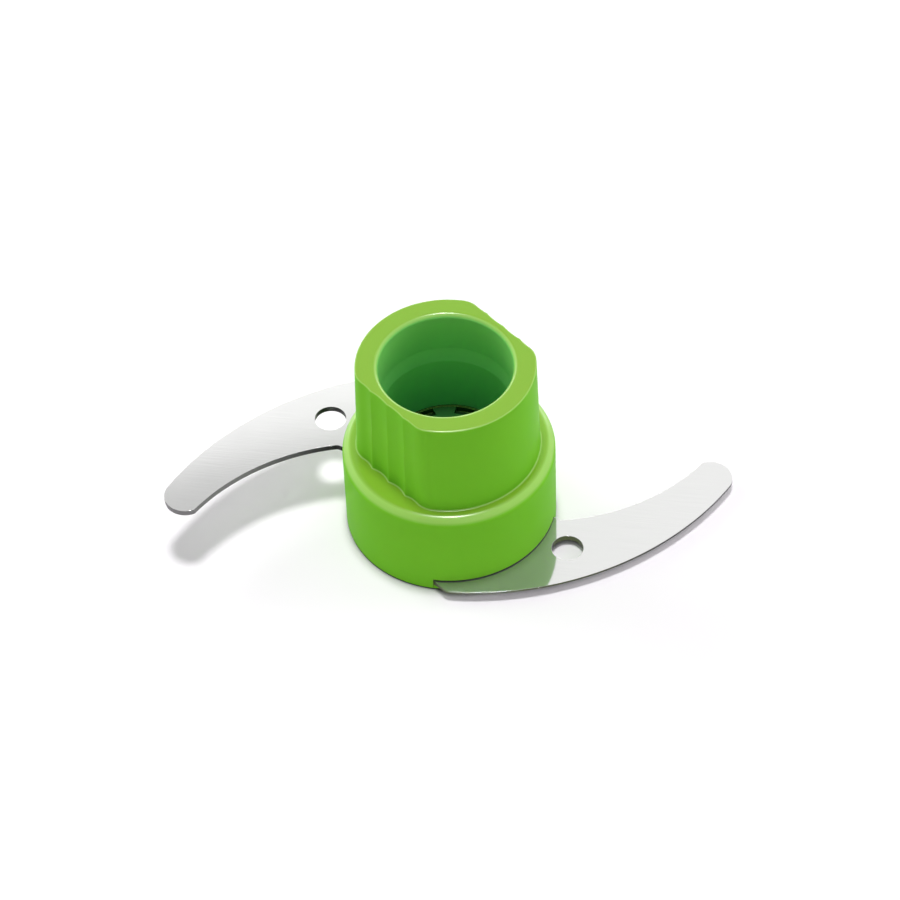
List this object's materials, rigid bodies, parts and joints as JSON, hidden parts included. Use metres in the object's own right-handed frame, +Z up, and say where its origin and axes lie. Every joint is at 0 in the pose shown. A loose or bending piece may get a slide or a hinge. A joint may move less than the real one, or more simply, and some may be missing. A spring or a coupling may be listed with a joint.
{
  "type": "food chopper knife insert",
  "caption": "Knife insert of a hand-powered food chopper: green hub with an open drive socket and grip flats, and scimitar blades at staggered heights that turn on a spindle bush.",
  "frame": {"origin": "centre of the spindle bore's mouth, on the spin axis, in the plane that the hub stands on", "axes": "+Z up along the spin axis, out of the drive socket; the grip flats face +Y and -Y"},
  "size_m": [0.0688, 0.0902, 0.0405],
  "materials": {
    "green_plastic": "satin moulded",
    "core_plastic": "satin moulded",
    "blade_steel": "fine brushed",
    "bush_plastic": "matte moulded",
    "screw_steel": "plain stainless"
  },
  "bodies": {
    "spindle": {"spindle_bush": "bush_plastic"},
    "rotor": {"hub_casing": "green_plastic", "drive_core": "core_plastic", "upper_blade": "blade_steel", "lower_blade": "blade_steel", "blade_spacer": "green_plastic", "base_cap": "green_plastic", "clamp_screws": "screw_steel"}
  },
  "joints": [
    {"name": "rotor_spin", "type": "hinge", "parent": "spindle", "child": "rotor", "pos_m": [0, 0, 0.006], "axis": [0, 0, -1], "continuous": true}
  ]
}
